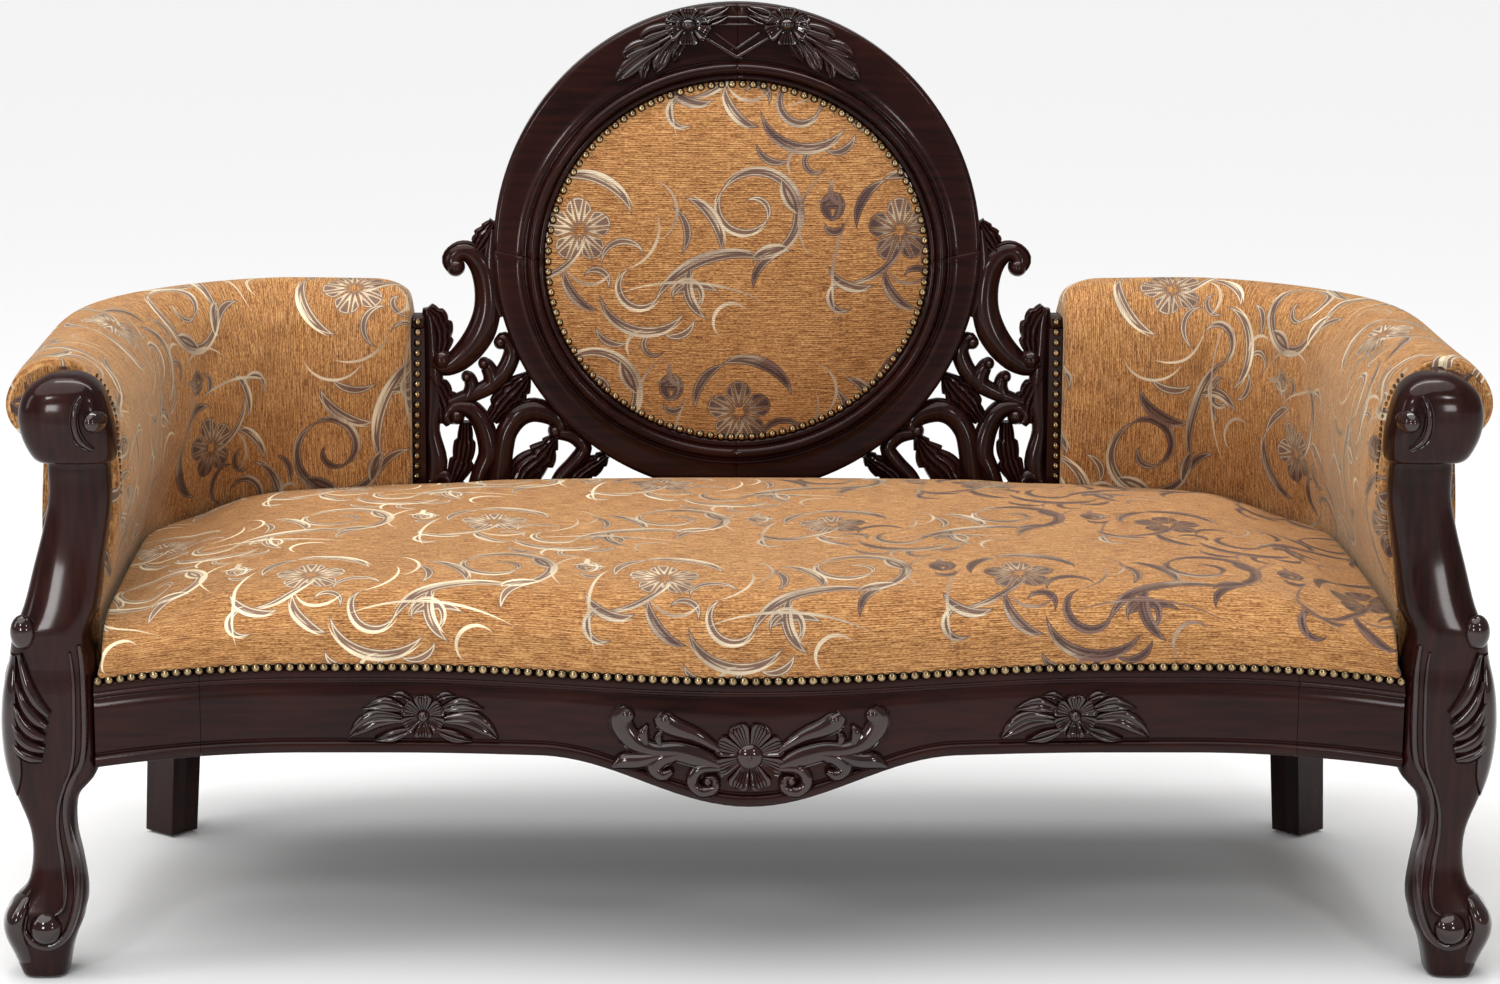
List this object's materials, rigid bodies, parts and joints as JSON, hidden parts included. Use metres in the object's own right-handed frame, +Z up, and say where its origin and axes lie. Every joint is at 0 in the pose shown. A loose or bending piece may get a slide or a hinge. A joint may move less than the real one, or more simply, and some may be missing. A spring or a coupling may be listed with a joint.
{
  "type": "cameo-back settee",
  "caption": "Settee with a carved dark wood frame, a round upholstered cameo back between pierced scroll brackets, wrap-around padded arms and a nailed serpentine seat.",
  "frame": {"origin": "middle of the settee's footprint box, on the floor", "axes": "+X to the right seen from the front, +Y from the front to the back, +Z up"},
  "size_m": [1.732, 0.7162, 1.071],
  "materials": {
    "show_wood": "near-black red mahogany stain under gloss lacquer",
    "frame_timber": "unfinished hardwood frame timber",
    "brocade": "golden tan slubbed chenille with scrolling foliage in cream and mauve-brown satin thread",
    "nails": "antiqued dark brass upholstery nails",
    "webbing": "woven jute webbing",
    "dust_cloth": "thin black dust cloth",
    "bolts": "plain zinc-plated steel",
    "glides": "black nylon glides"
  },
  "bodies": {
    "root": {"front_leg_left": "show_wood", "front_leg_right": "show_wood", "rear_leg_left": "show_wood", "rear_leg_right": "show_wood", "front_rail": "show_wood", "rail_end_left": "show_wood", "rail_end_right": "show_wood", "back_stile_left": "show_wood", "back_stile_right": "show_wood", "back_cross_rail": "show_wood", "fretwork_left": "show_wood", "fretwork_right": "show_wood", "cameo_ring_upper_left": "show_wood", "cameo_ring_upper_right": "show_wood", "cameo_ring_lower_left": "show_wood", "cameo_ring_lower_right": "show_wood", "ring_dowel_top": "frame_timber", "ring_dowel_bottom": "frame_timber", "ring_dowel_left": "frame_timber", "ring_dowel_right": "frame_timber", "cameo_board": "frame_timber", "side_rail_left": "frame_timber", "side_rail_right": "frame_timber", "rear_rail": "frame_timber", "arm_rail_left": "frame_timber", "arm_rail_right": "frame_timber", "seat_brace_left": "frame_timber", "seat_brace_right": "frame_timber", "front_corner_block_left": "frame_timber", "front_corner_block_right": "frame_timber", "rear_corner_block_left": "frame_timber", "rear_corner_block_right": "frame_timber", "cameo_pad": "brocade", "cameo_back_pad": "brocade", "seat_cushion": "brocade", "wing_pad_left": "brocade", "wing_pad_right": "brocade", "outside_cover_left": "brocade", "outside_cover_right": "brocade", "seat_nail_band": "nails", "cameo_nail_band": "nails", "wing_nail_band_left": "nails", "wing_nail_band_right": "nails", "webbing_strap_1": "webbing", "webbing_strap_2": "webbing", "webbing_strap_3": "webbing", "webbing_strap_4": "webbing", "webbing_strap_5": "webbing", "webbing_strap_6": "webbing", "webbing_strap_7": "webbing", "dust_cover": "dust_cloth", "front_leg_bolt_left": "bolts", "front_leg_bolt_right": "bolts", "rear_leg_bolt_left": "bolts", "rear_leg_bolt_right": "bolts", "front_glide_left": "glides", "front_glide_right": "glides", "rear_glide_left": "glides", "rear_glide_right": "glides"}
  },
  "joints": []
}
